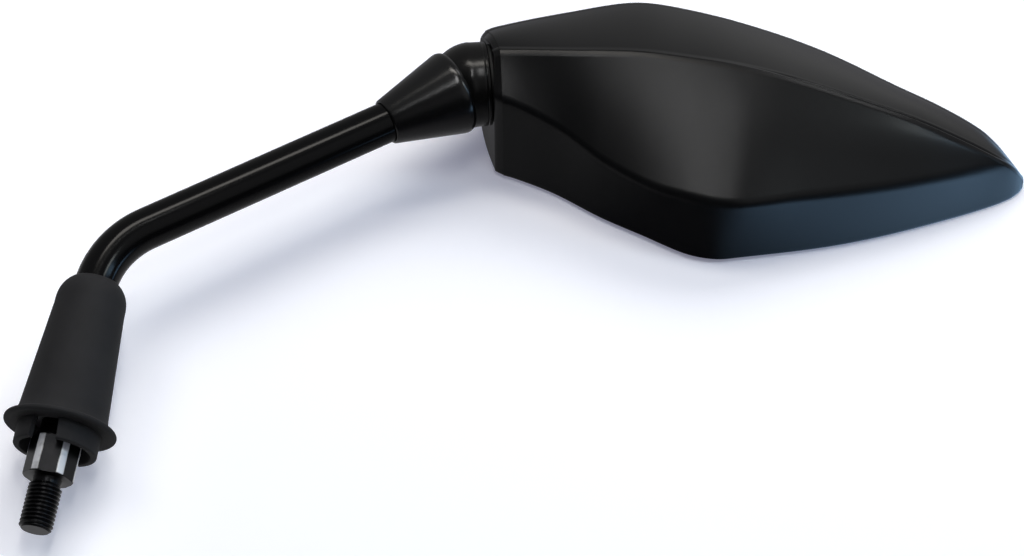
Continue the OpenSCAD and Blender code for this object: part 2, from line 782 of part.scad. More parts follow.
module glass_carrier() {
  rib = 1.8;
  back_r = carrier_r - carrier_floor;
  color([0.15, 0.15, 0.16])
    at_head()
      difference() {
        intersection() {
          union() {
            linear_extrude(height = carrier_h)
              difference() {
                polygon(clear_outline(glass_gap, carrier_h));
                polygon(clear_outline(glass_gap + rib, carrier_h));
              }
            for (p = post_places)
              translate([p[0], p[1], 0]) cylinder(d = post_d + 2 * rib, h = carrier_h);
            domed_sheet(clear_outline(glass_gap, carrier_h), carrier_r, back_r);
          }
          translate([glass_mid[0], glass_mid[1], glass_set + glass_r])
            sphere(r = carrier_r, $fn = 256);
        }
        for (p = post_places)
          translate([p[0], p[1], dome(p, carrier_r)]) {
            translate([0, 0, -screw_d])
              cylinder(r = screw_d / 2 + fit_gap, h = carrier_h + 2 * screw_d);
            translate([0, 0, -screw_d]) cylinder(r = head_r + fit_gap, h = screw_d + fit_gap);
            translate([0, 0, fit_gap - eps])
              cylinder(r1 = head_r + fit_gap, r2 = screw_d / 2 + fit_gap, h = screw_head_h + fit_gap);
          }
      }
}

module carrier_screws() {
  color([0.5, 0.5, 0.5])
    at_head()
      for (p = post_places)
        translate([p[0], p[1], dome(p, carrier_r) + 2 * fit_gap]) {
          cylinder(r1 = head_r, r2 = screw_d / 2, h = screw_head_h);
          translate([0, 0, screw_head_h - eps])
            cylinder(r = screw_d / 2, h = screw_len - screw_head_h);
        }
}

stud_adapter();
lock_washer();
lock_nut();
stem_rod();
boot();
cone_cover();
ball_stud();
seat_front();
seat_back();
socket_cup();
neck_gasket();
ring_nut();
pressure_cap();
disc_springs();
end_plug();
housing();
glass_carrier();
carrier_screws();
adhesive_pad();
mirror_glass();
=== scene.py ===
"""A motorcycle mirror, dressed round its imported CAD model.

Lengths in the shape functions are millimetres in the frame of the piece's own place: the stem's axis, the
arm's axis, the neck's axis or the head. The head's frame has x along the head, y across it in the plane of
the rim, and z from the rim towards the crown. Lengths in the finishes are metres.
"""

import bmesh
import bpy
import numpy as np
from mathutils import Matrix


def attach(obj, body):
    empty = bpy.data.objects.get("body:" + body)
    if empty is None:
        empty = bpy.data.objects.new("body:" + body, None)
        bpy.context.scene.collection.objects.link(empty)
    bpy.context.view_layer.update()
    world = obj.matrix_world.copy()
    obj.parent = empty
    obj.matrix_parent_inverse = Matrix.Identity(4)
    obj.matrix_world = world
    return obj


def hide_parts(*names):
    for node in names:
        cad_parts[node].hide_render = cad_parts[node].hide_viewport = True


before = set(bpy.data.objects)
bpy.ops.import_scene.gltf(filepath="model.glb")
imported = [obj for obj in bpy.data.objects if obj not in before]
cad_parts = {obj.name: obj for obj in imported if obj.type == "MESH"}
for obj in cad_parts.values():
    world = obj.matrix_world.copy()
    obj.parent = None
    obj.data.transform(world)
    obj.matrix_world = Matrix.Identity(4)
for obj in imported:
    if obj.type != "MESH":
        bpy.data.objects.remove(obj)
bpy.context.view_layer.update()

MM = 0.001


# Places


def turn(axis, degrees):
    """The matrix that turns by an angle about one of the axes x, y or z."""
    c, s = np.cos(np.radians(degrees)), np.sin(np.radians(degrees))
    i, j = {"x": (1, 2), "y": (2, 0), "z": (0, 1)}[axis]
    m = np.eye(3)
    m[i, i] = m[j, j] = c
    m[i, j], m[j, i] = -s, s
    return m


class Place:
    """Local axes, as the columns of a matrix, and an origin in the part's frame, in millimetres."""

    def __init__(self, axes, origin):
        self.axes, self.origin = np.array(axes, float), np.array(origin, float)

    def metres(self, points):
        """The points moved from this place to the part's frame, in metres."""
        return (np.asarray(points, float) @ self.axes.T + self.origin) * MM

    def vector(self, v):
        """A direction of this place, in the part's frame."""
        return self.axes @ np.asarray(v, float)


# The stem's legs would meet at the apex; the arm ends at the ball's centre. Angles are in degrees.
APEX_Z, BEND_R, BEND_ANGLE, BEND_SWING, ARM_LENGTH = 76.0, 30.0, 51.0, 10.7, 129.0
HEAD_TILT, HEAD_RISE, NECK_SKEW, BALL_H = 12.5, 4.2, 12.0, 24.4

STEM = Place(np.eye(3), (0, 0, 0))
arm_axes = turn("z", BEND_SWING) @ turn("y", BEND_ANGLE)
APEX = np.array((0, 0, APEX_Z))
BALL = APEX + ARM_LENGTH * arm_axes[:, 2]
ARM = Place(arm_axes, BALL)
head_axes = turn("x", 90 - HEAD_TILT) @ turn("z", HEAD_RISE)
HEAD = Place(head_axes, BALL - BALL_H * head_axes[:, 2])
NECK = Place(head_axes @ turn("z", NECK_SKEW) @ turn("y", 90), BALL)


# Surfaces


def unit(v):
    """The vectors brought to length 1."""
    return v / np.maximum(np.linalg.norm(v, axis=-1, keepdims=True), 1e-9)


def soft_corner(a, b, c, reach, steps):
    """A corner at b rounded as a parabola that touches both sides, `reach` from b or 0.45 of the side."""
    a, b, c = (np.asarray(v, float) for v in (a, b, c))

    def towards(v):
        """Where the curve leaves the side that runs from b towards v."""
        d = v - b
        size = np.linalg.norm(d, axis=-1, keepdims=True)
        return b + d / np.maximum(size, 1e-9) * np.minimum(np.asarray(reach), 0.45 * size)

    p, q = towards(a), towards(c)
    t = np.linspace(0, 1, steps + 1)
    return np.stack([(1 - s) ** 2 * p + 2 * s * (1 - s) * b + s * s * q for s in t], axis=-2)


def soft_profile(points, closed=True, steps=5):
    """A profile of (x, y, corner radius) with each corner rounded by soft_corner."""
    points = [np.array(p, float) for p in points]
    n = len(points)
    out = []
    for i, p in enumerate(points):
        if (not closed and i in (0, n - 1)) or p[2] <= 0:
            out.append(p[None, :2])
        else:
            out.append(soft_corner(points[i - 1][:2], p[:2], points[(i + 1) % n][:2], p[2], steps))
    return np.concatenate(out)


def divided(profile, longest, closed=True):
    """The profile with its long sides divided, so that no step is longer than `longest`."""
    ends = np.roll(profile, -1, axis=0)
    out = []
    for i, (a, b) in enumerate(zip(profile, ends)):
        if not closed and i == len(profile) - 1:
            out.append(a[None])
            continue
        n = max(1, int(np.ceil(np.linalg.norm(b - a) / longest)))
        out.append(a + (b - a) * np.linspace(0, 1, n, endpoint=False)[:, None])
    return np.concatenate(out)


def quads(rows, columns, close_rows, close_columns, first=0):
    """Vertex numbers of the faces between neighbouring grid points."""
    i = np.arange(rows if close_rows else rows - 1)[:, None]
    j = np.arange(columns if close_columns else columns - 1)[None, :]
    i2, j2 = (i + 1) % rows, (j + 1) % columns
    faces = np.stack([i * columns + j, i * columns + j2, i2 * columns + j2, i2 * columns + j], -1)
    return faces.reshape(-1, 4) + first


# Points closer together than this are joined, and shorter edges are dissolved (metres)
JOINED, SLIVER = 2e-6, 1e-7


def piece(name, place, grids, body, nodes, finish, sharp=38):
    """A mesh of one or more grids, each (points, rows close, columns close).

    Points that coincide are joined, the faces turned outwards, and edges sharper than `sharp` degrees kept
    crisp. The finish carries the name of its slot.
    """
    points, faces, first = [], [], 0
    for grid, close_rows, close_columns in grids:
        rows, columns = grid.shape[:2]
        points.append(place.metres(grid).reshape(-1, 3))
        faces.append(quads(rows, columns, close_rows, close_columns, first))
        first += rows * columns
    mesh = bpy.data.meshes.new(name)
    mesh.from_pydata(np.concatenate(points).tolist(), [], np.concatenate(faces).tolist())
    work = bmesh.new()
    work.from_mesh(mesh)
    bmesh.ops.remove_doubles(work, verts=work.verts, dist=JOINED)
    bmesh.ops.dissolve_degenerate(work, edges=work.edges, dist=SLIVER)
    bmesh.ops.recalc_face_normals(work, faces=work.faces)
    work.to_mesh(mesh)
    work.free()
    mesh.shade_smooth()
    mesh.set_sharp_from_angle(angle=np.radians(sharp))
    shape = bpy.data.objects.new(name, mesh)
    bpy.context.scene.collection.objects.link(shape)
    mesh.materials.append(finish)
    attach(shape, body)
    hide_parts(*nodes)


def round_angles(sides):
    """The angles of so many even steps round a circle, in radians."""
    return np.linspace(0, 2 * np.pi, sides, endpoint=False)


def rings_of(profile, sides=128):
    """A profile of (radius, height) carried round the z axis; either may be one number or one for each side."""
    angle = round_angles(sides)
    r, z = (np.stack([np.broadcast_to(ring[k], (sides,)) for ring in profile]) for k in (0, 1))
    return np.stack([r * np.cos(angle), r * np.sin(angle), z], -1)


# Finishes


class Value:
    """A socket of some nodes; sums, differences and products of such values add the Math nodes for them."""

    def __init__(self, nodes, socket):
        self.nodes, self.socket = nodes, socket

    def _math(self, operation, *values):
        return self.nodes.node("ShaderNodeMath", {"operation": operation}, dict(enumerate(values)))

    def __add__(self, other):
        return self._math("ADD", self, other)

    def __mul__(self, other):
        return self._math("MULTIPLY", self, other)

    def __sub__(self, other):
        return self._math("SUBTRACT", self, other)

    def __rsub__(self, other):
        return self._math("SUBTRACT", other, self)

    __radd__, __rmul__ = __add__, __mul__

    def held(self, low=0.0, high=1.0):
        """The value kept between two limits."""
        return self._math("MINIMUM", self._math("MAXIMUM", self, low), high)

    def step(self, start, width):
        """0 up to `start`, then straight up to 1 over `width`."""
        return ((self - start) * (1 / width)).held()


class Nodes:
    """The nodes round one shader, of a finish or of the room."""

    def __init__(self, tree, shader):
        self.tree, self.shader = tree, tree.nodes[shader]

    def node(self, kind, settings=None, inputs=None, output=0):
        """One node: its settings first, then the values or links of its sockets."""
        made = self.tree.nodes.new(kind)
        for key, setting in (settings or {}).items():
            setattr(made, key, setting)
        for key, value in (inputs or {}).items():
            if isinstance(value, Value):
                self.tree.links.new(value.socket, made.inputs[key])
            else:
                made.inputs[key].default_value = value
        return Value(self, made.outputs[output])

    def mixed(self, share, first, second):
        """A colour between two colours."""
        first, second = (v if isinstance(v, Value) else (*v, 1) for v in (first, second))
        return self.node("ShaderNodeMix", {"data_type": "RGBA"}, {0: share, 6: first, 7: second}, 2)

    def along(self, direction, place):
        """How far a place lies along a direction."""
        inputs = {0: place, 1: [float(v) for v in direction]}
        return self.node("ShaderNodeVectorMath", {"operation": "DOT_PRODUCT"}, inputs, "Value")

    def ray(self, *kinds):
        """1 for rays of the named kinds and 0 for others."""
        values = [self.node("ShaderNodeLightPath", output=f"Is {kind} Ray") for kind in kinds]
        return values[0] if len(values) == 1 else sum(values[1:], values[0]).held()

    def feeds(self, socket, value):
        """A link to a socket of the shader."""
        self.tree.links.new(value.socket, self.shader.inputs[socket])


class Finish(Nodes):
    """A procedural material on Object coordinates, round one Principled shader."""

    def __init__(self, name, colour, roughness, **constants):
        self.material = bpy.data.materials.new(name)
        self.material.use_nodes = True
        super().__init__(self.material.node_tree, "Principled BSDF")
        self.shader.inputs["Base Color"].default_value = (*colour, 1)
        self.shader.inputs["Roughness"].default_value = roughness
        for key, number in constants.items():
            self.shader.inputs[key.replace("_", " ")].default_value = number
        self.place = self.node("ShaderNodeTexCoord", output="Object")

    def noise(self, scale, detail=2.0, roughness=0.5, place=None):
        """Cloudy noise about 0.5; `scale` is in repeats a metre."""
        inputs = {"Vector": place or self.place, "Scale": scale, "Detail": detail, "Roughness": roughness}
        return self.node("ShaderNodeTexNoise", {"normalize": True}, inputs)

    def relief(self, height, distance, strength=1.0, under=None):
        """A bump: `height` times `distance` metres, over another bump if there is one."""
        inputs = {"Height": height, "Distance": distance, "Strength": strength}
        if under is not None:
            inputs["Normal"] = under
        return self.node("ShaderNodeBump", None, inputs)

    def named(self, slot_name):
        """The material itself, once its nodes are all there."""
        self.material["slot"] = slot_name
        return self.material


def shades(colour, darker, lighter):
    """Two shades of a colour, each channel times a number."""
    return [tuple(channel * k for channel in colour) for k in (darker, lighter)]


def moulded_plastic():
    """Satin black moulding: a very fine even grain and faint flow clouds."""
    f = Finish("moulded_plastic", (0.0035, 0.0035, 0.0039), 0.32, Specular_IOR_Level=0.25)
    clouds = f.noise(28, 3)
    grain = f.noise(5200, 2, 0.6)
    f.feeds("Base Color", f.mixed(clouds, (0.003, 0.003, 0.0034), (0.0044, 0.0044, 0.0048)))
    f.feeds("Roughness", (0.27 + clouds * 0.04 + grain * 0.05).held(0.2, 0.6))
    f.feeds("Normal", f.relief(grain, 0.00003, 0.35))
    return f.named("housing_plastic")


def stem_paint():
    """Gloss black powder coat: a slow orange-peel ripple and very fine dust."""
    f = Finish("stem_paint", (0.0022, 0.0022, 0.0025), 0.14, Specular_IOR_Level=0.16)
    ripple = f.noise(420, 2)
    dust = f.noise(9000, 1)
    f.feeds("Roughness", (0.13 + ripple * 0.04 + (dust - 0.62).held() * 0.5).held(0.08, 0.5))
    f.feeds("Normal", f.relief(ripple, 0.00004, 0.12))
    return f.named("stem_paint")


def moulded_rubber():
    """Matte black rubber: chalky bloom, fine pores, slight unevenness."""
    f = Finish("moulded_rubber", (0.013, 0.013, 0.0138), 0.72, Specular_IOR_Level=0.3)
    bloom = f.noise(90, 4, 0.6)
    pores = f.noise(3800, 3, 0.65)
    f.feeds("Base Color", f.mixed((bloom * 1.6 - 0.3).held(), (0.0105, 0.0103, 0.011), (0.02, 0.0196, 0.0208)))
    f.feeds("Roughness", (0.62 + bloom * 0.14 + pores * 0.08).held(0.4, 0.9))
    swell = f.relief(bloom, 0.00025, 0.4)
    f.feeds("Normal", f.relief(pores, 0.00005, 0.6, swell))
    return f.named("boot_rubber")


def gloss_plastic():
    """Gloss black moulding of the cone cover, with faint flow lines along it."""
    f = Finish("gloss_plastic", (0.0028, 0.0028, 0.0032), 0.24, Specular_IOR_Level=0.45)
    clouds = f.noise(60, 2)
    grain = f.noise(4200, 2)
    f.feeds("Roughness", (0.15 + clouds * 0.05 + grain * 0.04).held(0.1, 0.5))
    f.feeds("Normal", f.relief(grain, 0.00003, 0.25))
    return f.named("cover_plastic")


def satin_paint():
    """Satin black paint of the socket's collar."""
    f = Finish("satin_paint", (0.003, 0.0029, 0.003), 0.28, Specular_IOR_Level=0.28)
    ripple = f.noise(700, 2)
    f.feeds("Roughness", (0.19 + ripple * 0.06).held(0.12, 0.5))
    f.feeds("Normal", f.relief(ripple, 0.00003, 0.1))
    return f.named("socket_paint")


# The stud's hexagon ends at this height, and a painted highlight, pale strips along its corners, starts at this
# distance off the axis
HEXAGON_TOP, CORNER_HIGHLIGHT_RADIUS = 0.0125, 0.00756


def black_zinc():
    """Black zinc plating on turned steel: turning marks round the axis, uneven oil, and a painted highlight as pale
    strips along the hexagon's corners.
    """
    f = Finish("black_zinc", (0.012, 0.0122, 0.0135), 0.3, Metallic=0.85)
    patches = f.noise(260, 3)
    stretched = f.node("ShaderNodeMapping", None, {"Vector": f.place, "Scale": (60.0, 60.0, 9000.0)})
    rings = f.noise(1.0, 2, 0.5, stretched)
    flat = f.node("ShaderNodeVectorMath", {"operation": "MULTIPLY"}, {0: f.place, 1: (1.0, 1.0, 0.0)})
    radius = f.node("ShaderNodeVectorMath", {"operation": "LENGTH"}, {0: flat}, "Value")
    height = f.along((0, 0, 1), f.place)
    below = ((height - HEXAGON_TOP) * -4000).held()
    # Painted highlight: a mask of the hexagon's corners, below the hexagon's top
    painted_corner_highlight = ((radius + patches * 0.0002 - CORNER_HIGHLIGHT_RADIUS) * 9000).held() * below
    dark = f.mixed(patches, (0.008, 0.0082, 0.0092), (0.018, 0.0184, 0.02))
    # The painted highlight makes the corners pale, less metallic and rougher
    f.feeds("Base Color", f.mixed(painted_corner_highlight, dark, (0.74, 0.74, 0.75)))
    f.feeds("Metallic", 0.85 - painted_corner_highlight * 0.6)
    f.feeds("Roughness", (0.24 + patches * 0.1 + rings * 0.08 + painted_corner_highlight * 0.1).held(0.12, 0.6))
    f.feeds("Normal", f.relief(rings, 0.00003, 0.3))
    return f.named("black_zinc")


def plated_steel(name, colour, roughness):
    """Bright turned steel: fine marks and slightly uneven plating."""
    f = Finish(name, colour, roughness, Metallic=1.0)
    patches = f.noise(300, 3)
    marks = f.noise(7000, 2)
    f.feeds("Base Color", f.mixed(patches, *shades(colour, 0.86, 1.12)))
    f.feeds("Roughness", (roughness - 0.05 + patches * 0.08 + marks * 0.06).held(0.05, 0.7))
    f.feeds("Normal", f.relief(marks, 0.00002, 0.3))
    return f.named(name)


def plain_moulding(name, colour, roughness, scale, slot_name):
    """A simple moulded, cast or foamed surface: clouds in its colour and grain of one scale."""
    f = Finish(name, colour, roughness, Specular_IOR_Level=0.4)
    clouds = f.noise(120, 3)
    grain = f.noise(scale, 3)
    f.feeds("Base Color", f.mixed(clouds, *shades(colour, 0.8, 1.2)))
    f.feeds("Roughness", (roughness - 0.06 + clouds * 0.12).held(0.1, 0.95))
    f.feeds("Normal", f.relief(grain, 0.00005, 0.5))
    return f.named(slot_name)


def silvered_glass():
    """The mirror: a silvered face behind clear glass, with a trace of dust."""
    f = Finish("silvered_glass", (0.82, 0.84, 0.85), 0.02, Metallic=1.0, Coat_Weight=1.0, Coat_Roughness=0.01)
    dust = f.noise(2500, 4, 0.7)
    haze = f.noise(40, 3)
    f.feeds("Base Color", f.mixed(haze, (0.79, 0.815, 0.825), (0.85, 0.87, 0.88)))
    f.feeds("Roughness", (0.012 + (dust - 0.6).held() * 0.25).held(0.01, 0.2))
    return f.named("mirror_glass")


# The housing, as in the solids: the distance of its neck's face from the ball, its walls and its main sizes

NECK_FACE, END_WALL, SHELL_LENGTH, SHELL_HALF, SHELL_DEPTH = 7.2, 2.4, 179.0, 46.0, 43.0
WALL, TIP_SOLID, NECK_BLEND, RIM_ROUND, CROWN = 2.2, 6.0, 55.0, 1.2, 1.0
SHELL_START = NECK_FACE / np.cos(np.radians(NECK_SKEW))
SHELL_SPAN = SHELL_LENGTH - SHELL_START
CAVITY_START = SHELL_START + END_WALL / np.cos(np.radians(NECK_SKEW))
CAVITY_END = SHELL_LENGTH - TIP_SOLID
# How far the foot of the end wall bows out, and the ridge's flat in front of and behind its middle
FOOT_BOW = 1.6
RIDGE_FLAT = (1.45, 0.7)
# Radius of the hole in the end wall and of the turned face round it
NECK_HOLE, NECK_LAND = 10.7, 13.0

# The outlines: percent along the housing, percent of its half width across and of its depth over the rim

RIM_LOW = np.array((
    (0, -35.4), (10, -49.2), (20.3, -69), (31.1, -85), (38, -95.9), (43.3, -98.6), (48, -95.4), (62.5, -82.5),
    (73.5, -69), (86, -49.6), (93.7, -36), (97.5, -27.5), (99.2, -21.5), (100, -17),
))
RIM_HIGH = np.array((
    (0, 44), (7.9, 66.5), (15.1, 82.3), (25.1, 99.5), (31, 100), (45.4, 90), (61, 72.3), (76, 46.8),
    (91.3, 23.4), (94.8, 14), (97.4, 4.5), (99.2, -2.5), (100, -6.5),
))
CREASE = np.array((
    (0, -30.3, 79.9), (6, -35.2, 72.6), (12.2, -43.7, 65), (19.8, -61, 57.7), (29.3, -77, 53.5),
    (37, -84.1, 52.3), (43, -87, 51), (48.1, -85.5, 50), (58.3, -72.8, 46.5), (73.5, -54.3, 40.7),
    (84.8, -38, 36), (95.3, -19.5, 27.8), (98.2, -17.2, 18), (100, -14.5, 7),
))
RIDGE = np.array((
    (0, -0.3, 97.7), (12.3, 0.7, 100), (26.4, 4.1, 100), (36, 3.5, 97.7), (45.2, 2.2, 94.2), (54.5, -0.9, 88.4),
    (69.1, -7.4, 74.4), (78.7, -11.1, 62.8), (88.6, -14.6, 45.3), (95.3, -16.4, 30.4), (98.2, -14, 19.4),
    (100, -12, 7.5),
))
EDGE = np.array((
    (0, 38.4, 76), (7.9, 59, 67.4), (15.1, 75.4, 60.5), (25.1, 93.8, 54), (31, 94.2, 53.5), (45.4, 84, 51.2),
    (61, 66.4, 46.5), (76, 42, 39.5), (83.7, 32, 33.7), (91.3, 20.6, 25.2), (94.8, 11, 19.6), (97.1, 0.6, 15.2),
    (98.8, -6.4, 10), (100, -10, 6),
))
# The soft fold across the main facet: its share of the way from the ridge to the crease, and its height in mm
FOLD = np.array((
    (0, 0.3, 0), (30, 0.3, 0), (40, 0.27, 0.12), (46.5, 0.28, 0.45), (59, 0.345, 0.95), (73.5, 0.32, 1.05),
    (82, 0.27, 0.85), (90, 0.2, 0.45), (95.3, 0.2, 0.12), (100, 0.2, 0),
))
# The fine groove beside the ridge towards the tip: its depth in mm
GROOVE = np.array((
    (0, 0), (42, 0), (50, 0.12), (58, 0.45), (66, 0.6), (90, 0.55), (94, 0.35), (96.5, 0), (100, 0),
))


def smooth_along(u, line, column):
    """A column of an outline at the places u, in percent.

    Cubic pieces through the points, each point's slope taken from its two neighbours.
    """
    at, value = line[:, 0], line[:, column]
    before, after = np.r_[0, np.arange(len(at) - 1)], np.r_[np.arange(1, len(at)), len(at) - 1]
    slope = (value[after] - value[before]) / (at[after] - at[before])
    i = np.clip(np.searchsorted(at, u, side="right") - 1, 0, len(at) - 2)
    h = at[i + 1] - at[i]
    t = (u - at[i]) / h
    return (
        (2 * t**3 - 3 * t**2 + 1) * value[i] + (t**3 - 2 * t**2 + t) * h * slope[i]
        + (3 * t**2 - 2 * t**3) * value[i + 1] + (t**3 - t**2) * h * slope[i + 1]
    )


def section_corners(x):
    """The corners of the sections at the lengths x: lower rim, crease, ridge, upper edge, upper rim."""
    u = (x - SHELL_START) / SHELL_SPAN * 100
    corner = []
    for line in (RIM_LOW, CREASE, RIDGE, EDGE, RIM_HIGH):
        y = smooth_along(u, line, 1) * SHELL_HALF / 100
        z = smooth_along(u, line, 2) * SHELL_DEPTH / 100 if line.shape[1] == 3 else 0 * y
        corner.append(np.stack([y, z], -1))
    return np.stack(corner, 1)


def moved_in(corner, w):
    """The corners moved w square to the faces that meet there; the two rims slide along the rim's plane."""
    w = np.broadcast_to(np.asarray(w, float), corner.shape[:1])[:, None]
    d = unit(np.diff(corner, axis=1))
    n = np.stack([d[..., 1], -d[..., 0]], -1)
    out = corner.copy()
    for k in (1, 2, 3):
        both = (n[:, k - 1] * n[:, k]).sum(-1, keepdims=True)
        out[:, k] += w * (n[:, k - 1] + n[:, k]) / (1 + both)
    out[:, 0, :1] += w / n[:, 0, :1]
    out[:, 4, :1] += w / n[:, 3, :1]
    return out


# Rows across each flat of a section
FLAT_ROWS = 10


def eased(n):
    """n numbers strictly between 0 and 1, closer to the ends than in the middle: half of 1 minus a cosine."""
    return (1 - np.cos(np.pi * np.arange(1, n + 1) / (n + 1))) / 2


def between(a, b, n):
    """n points strictly between a and b, at eased places."""
    return a[:, None] + (b - a)[:, None] * eased(n)[None, :, None]


def section(x, inset, inside=False):
    """The sections at the lengths x, from under the lower rim over crease, fold, ridge and edge to the upper rim.

    Each corner is a parabola, and the ridge has two of them with a narrow flat between. The upper facet has a
    low crown, a parabola that fades towards the tip. The fold stands out from the main facet by its height,
    and the groove is a bell-shaped notch beside the ridge, sunk square to the upper facet.
    """
    u = (x - SHELL_START) / SHELL_SPAN * 100
    corner = moved_in(section_corners(x), inset)
    low, crease, ridge, edge, high = (corner[:, k] for k in range(5))
    share = smooth_along(u, FOLD, 1)[:, None]
    lift = 0 if inside else np.maximum(smooth_along(u, FOLD, 2), 0)[:, None]
    d = unit(crease - ridge)
    fold = ridge + (crease - ridge) * share + lift * np.stack([d[:, 1], -d[:, 0]], -1)
    rim = 0.3 if inside else RIM_ROUND
    across = unit(edge - ridge)
    front, behind = ridge + unit(fold - ridge) * RIDGE_FLAT[0], ridge + across * RIDGE_FLAT[1]
    under = np.array((4 * RIM_ROUND, 0))
    # Lower rim, crease, fold, the ridge's two corners, upper edge, upper rim: each with its reach and its rows
    parts = [
        soft_corner(low + under, low, crease, rim, 4),
        soft_corner(low, crease, fold, 2.4, 9),
        soft_corner(crease, fold, ridge, 7.0, 9),
        np.concatenate([soft_corner(fold, front, behind, 0.5, 7), soft_corner(front, behind, edge, 0.5, 9)], 1),
        soft_corner(ridge, edge, high, 5.0, 12),
        soft_corner(edge, high, high - under, rim, 4),
    ]
    beyond = np.array((0.25, 0.5, 0.8, 1.2, 1.8))[None, :, None]
    parts[3] = np.concatenate([parts[3], parts[3][:, -1:] + beyond * across[:, None]], 1)
    if not inside:
        out = np.stack([-across[:, 1], across[:, 0]], -1)[:, None]
        way = ((parts[3] - ridge[:, None]) * across[:, None]).sum(-1)
        depth, middle, spread = np.maximum(smooth_along(u, GROOVE, 1), 0)[:, None], 1.3, 0.6
        parts[3] = parts[3] - out * (depth * np.exp(-(((way - middle) / spread) ** 2)))[..., None]
    line = [parts[0]]
    for k, (before, after) in enumerate(zip(parts, parts[1:])):
        flat = between(before[:, -1], after[:, 0], FLAT_ROWS)
        if k == 3 and not inside:
            t = eased(FLAT_ROWS)[None, :, None]
            flat = flat + out * CROWN * 4 * t * (1 - t) * np.minimum(1, (100 - u) / 20)[:, None, None]
        line += [flat, after]
    return np.concatenate(line, 1)


def leaning(x, flat, x0):
    """Sections put in place: near the neck each one leans with the end wall, whose face is at x0."""
    lean = np.tan(np.radians(NECK_SKEW)) * np.maximum(0, 1 - (x - x0) / NECK_BLEND)
    return np.stack([x[:, None] - lean[:, None] * flat[..., 0], flat[..., 0], flat[..., 1]], -1)


def swept_end(points):
    """The outer skin's end: furthest out at the ridge, its soft edge widest towards the crease.

    A push along the head that grows with the distance below or above the ridge and fades with the square of
    the distance from the end, over 32 mm; a second push over the first 5 mm; and a small drop of the upper
    corner.
    """
    x, y, z = (points[..., k] for k in range(3))
    from_start = x + np.tan(np.radians(NECK_SKEW)) * y - SHELL_START
    shift = np.clip(1.0 - np.where(y < -1, -0.03, 0.18) * (y + 1), -2.8, 1.6)
    wide = np.where(y < 2, -0.7 - 0.09 * np.clip(-y, 0, 14), 0)
    near, way = np.clip(from_start / 5, 0, 1), np.clip(from_start / 32, 0, 1)
    drop = np.clip((y - 8) / 6, 0, 1) * np.clip((z - 20) / 10, 0, 1) * (1 - near) ** 2
    return points + np.stack([shift * (1 - way) ** 2 + wide * (1 - near) ** 2, -0.5 * drop, -0.6 * drop], -1)


def housing_shell():
    """The moulded shell: its outer and inner skins joined round the rim, with the end wall and its hole.

    The sections stand closer together at the neck and towards the tip.
    """
    u = np.concatenate([np.linspace(0, 92, 185), 92 + 8 * np.sin(np.linspace(0, 1, 50)[1:] * np.pi / 2)])
    start = np.array((0, 0.12, 0.4, 0.85, 1.5, 2.2, 2.8))
    inset = np.concatenate([np.array((1.2, 0.98, 0.74, 0.5, 0.25, 0.06, 0)), np.zeros(len(u) - 2)])
    x = np.concatenate([SHELL_START + start, SHELL_START + SHELL_SPAN * u[2:] / 100])
    outer = swept_end(leaning(x, section(x, inset), SHELL_START))
    inner_span = CAVITY_END - CAVITY_START
    inner_x = np.concatenate([CAVITY_START + start * 0.1, CAVITY_START + inner_span * u[2:] / 100])
    inner = leaning(inner_x, section(inner_x, WALL, True), CAVITY_START)

    def loop(ring):
        """The section at the neck, closed along the rim's plane by a line bowed as a parabola."""
        t = np.linspace(0, 1, 18)[1:-1, None]
        foot = ring[-1] + (ring[0] - ring[-1]) * t - (FOOT_BOW, 0, 0) * (4 * t * (1 - t))
        return np.concatenate([ring, foot])

    rings = []
    skew = np.radians(NECK_SKEW)
    along, sideways = np.array((np.cos(skew), np.sin(skew), 0)), np.array((-np.sin(skew), np.cos(skew), 0))
    outer_loop, inner_loop = loop(outer[0]), loop(inner[0])
    angle = np.arctan2(outer_loop[:, 2] - BALL_H, outer_loop @ sideways)[:, None]
    for d, r in ((NECK_FACE, NECK_LAND), (NECK_FACE, NECK_HOLE), (NECK_FACE + END_WALL, NECK_HOLE)):
        centre = d * along + np.array((0, 0, BALL_H))
        rings.append(centre + r * (np.cos(angle) * sideways + np.sin(angle) * (0, 0, 1)))
    n = outer.shape[1]
    low_rim, high_rim = (np.stack([outer[:, k], inner[:, k]], 1) for k in (0, -1))
    foot = np.stack([np.concatenate([ring[n - 1:], ring[:1]]) for ring in (outer_loop, inner_loop)])
    tips = np.stack([outer[-1][[-1, 0]], inner[-1][[-1, 0]]])
    grids = [(grid, False, False) for grid in (outer, inner, low_rim, high_rim, foot, tips)]
    for pair in zip([outer_loop] + rings, rings + [inner_loop]):
        grids.append((np.stack(pair), False, True))
    for skin in (outer, inner):
        tip = skin[-1]
        middle = tip.mean(0)
        grids.append((np.stack([tip, middle + (tip - middle) * 0.4, 0 * tip + middle]), False, True))
    return grids


POSTS = ((36, 21), (42, -17), (93, 25), (92, -29), (140, -7))


def screw_posts():
    """The posts under the crown that the carrier is screwed to: round bars with a soft end and a bore.

    Each reaches 1 mm into the facet over it, and its top is cut along the facet's slope.
    """
    grids = []
    for x, y in POSTS:
        c = section_corners(np.array([float(x)]))
        k = 1 if y < c[0, 2, 0] else 2
        a, b = moved_in(c, WALL)[0, k], moved_in(c, WALL)[0, k + 1]
        reach = a[1] + (b[1] - a[1]) * (y - a[0]) / (b[0] - a[0]) + 1.0
        slope = (b[1] - a[1]) / (b[0] - a[0])
        profile = [(0, 16), (1.3, 16), (1.3, 8), (3, 8), (3.4, 8.1), (3.5, 8.4), (3.5, reach), (0, reach)]
        post = rings_of(profile, 40)
        post[..., 2] += np.where(post[..., 2] == reach, slope * post[..., 1], 0)
        grids.append((post + (x, y, 0), False, True))
    return grids


# The glass and its outline


